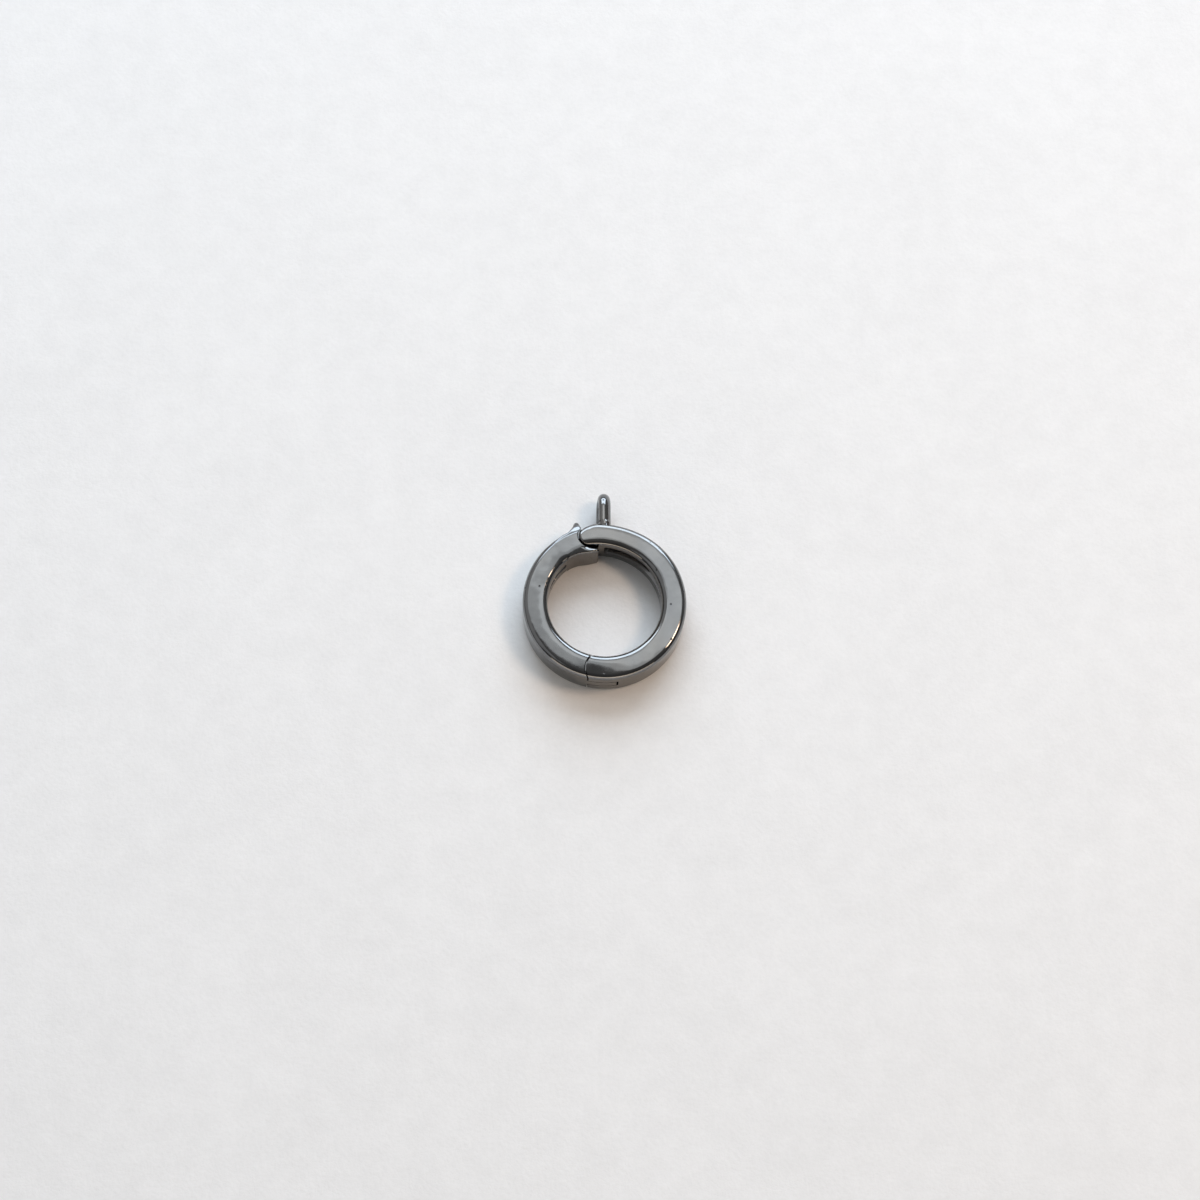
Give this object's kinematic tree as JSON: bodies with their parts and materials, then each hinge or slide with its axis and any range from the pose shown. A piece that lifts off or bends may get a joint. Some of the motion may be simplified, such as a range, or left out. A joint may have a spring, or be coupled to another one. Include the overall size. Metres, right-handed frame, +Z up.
{
  "type": "hinged ring jewelry clasp",
  "caption": "Round hinged ring clasp: the plated half rings swing on a pin, a curled nose seats between thumb tab and lip, and a wire bail stands on the nose.",
  "frame": {"origin": "centre of the ring, in the plane of the face it lies on", "axes": "+Z up through the ring's hole, +Y towards the bail, hinge on the -Y side, thumb tab on the -X side"},
  "size_m": [0.016, 0.0198, 0.0035],
  "materials": {
    "casting": "mirror-polished gunmetal plating over a cast brass body",
    "pin": "ground flush and plated over with the castings"
  },
  "bodies": {
    "bail_half": {"right_half": "casting", "hinge_pin": "pin"},
    "tab_half": {"left_half": "casting"}
  },
  "joints": [
    {"name": "ring_hinge", "type": "hinge", "parent": "bail_half", "child": "tab_half", "pos_m": [-0.00015, -0.00695, 0.00175], "axis": [0, 0, 1], "range_deg": [0, 115]}
  ]
}
